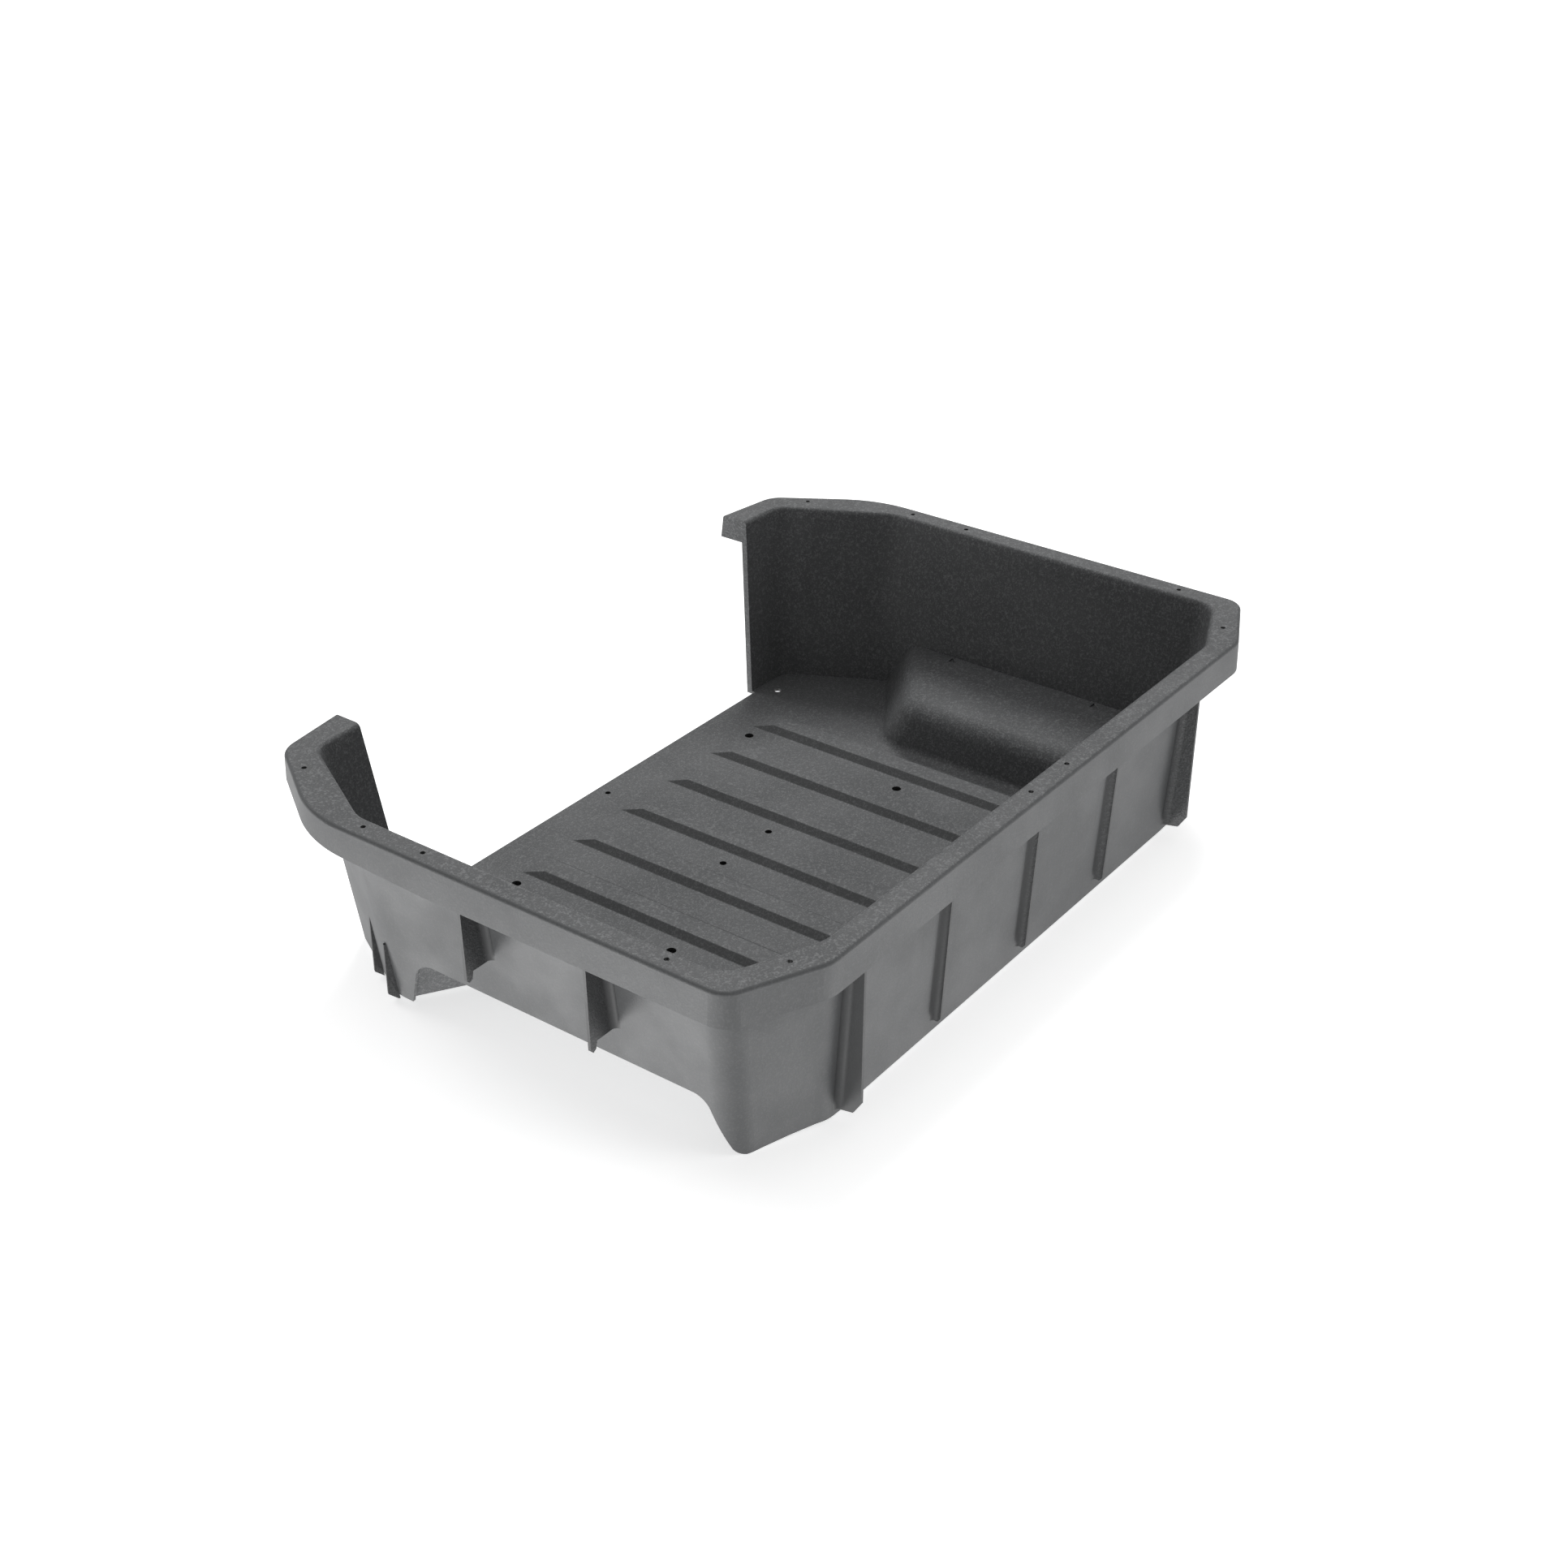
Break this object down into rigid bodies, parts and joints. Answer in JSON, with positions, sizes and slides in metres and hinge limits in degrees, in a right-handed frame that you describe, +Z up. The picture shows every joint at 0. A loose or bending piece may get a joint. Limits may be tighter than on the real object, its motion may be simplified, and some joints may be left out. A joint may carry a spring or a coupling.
{
  "type": "utility vehicle bed liner",
  "caption": "Drop-in moulded tub that lines a utility vehicle's cargo bed, with a ribbed floor, wheel arches, a flanged rim with screw holes, outer webs and an open tailgate end",
  "frame": {"origin": "middle of the footprint, on the plane that the feet stand on", "axes": "+X to the vehicle's right, the longest side; +Y to the tailgate; +Z up"},
  "size_m": [1.446, 1.0036, 0.337],
  "materials": {
    "grained_plastic": "charcoal polyethylene with a fine leathery grain",
    "web_plastic": "the same plastic, smoother from the mould's ribs"
  },
  "bodies": {
    "root": {"bulkhead_wall": "grained_plastic", "bulkhead_web_1": "web_plastic", "bulkhead_web_2": "web_plastic", "bulkhead_web_3": "web_plastic", "bulkhead_web_4": "web_plastic", "bulkhead_web_5": "web_plastic", "corner_web_front_left": "web_plastic", "corner_web_front_right": "web_plastic", "corner_web_rear_left": "web_plastic", "corner_web_rear_right": "web_plastic", "floor_pan": "grained_plastic", "front_corner_wall_left": "grained_plastic", "front_corner_wall_right": "grained_plastic", "front_rim_rail": "grained_plastic", "rear_corner_wall_left": "grained_plastic", "rear_corner_wall_right": "grained_plastic", "rear_rim_rail_left": "grained_plastic", "rear_rim_rail_right": "grained_plastic", "return_wall_left": "grained_plastic", "return_wall_right": "grained_plastic", "side_rim_rail_left": "grained_plastic", "side_rim_rail_right": "grained_plastic", "side_wall_left": "grained_plastic", "side_wall_right": "grained_plastic", "side_web_front_left": "web_plastic", "side_web_front_right": "web_plastic", "side_web_rear_left": "web_plastic", "side_web_rear_right": "web_plastic", "tailgate_end_cap_left": "grained_plastic", "tailgate_end_cap_right": "grained_plastic", "wheel_arch_left": "grained_plastic", "wheel_arch_right": "grained_plastic"}
  },
  "joints": []
}
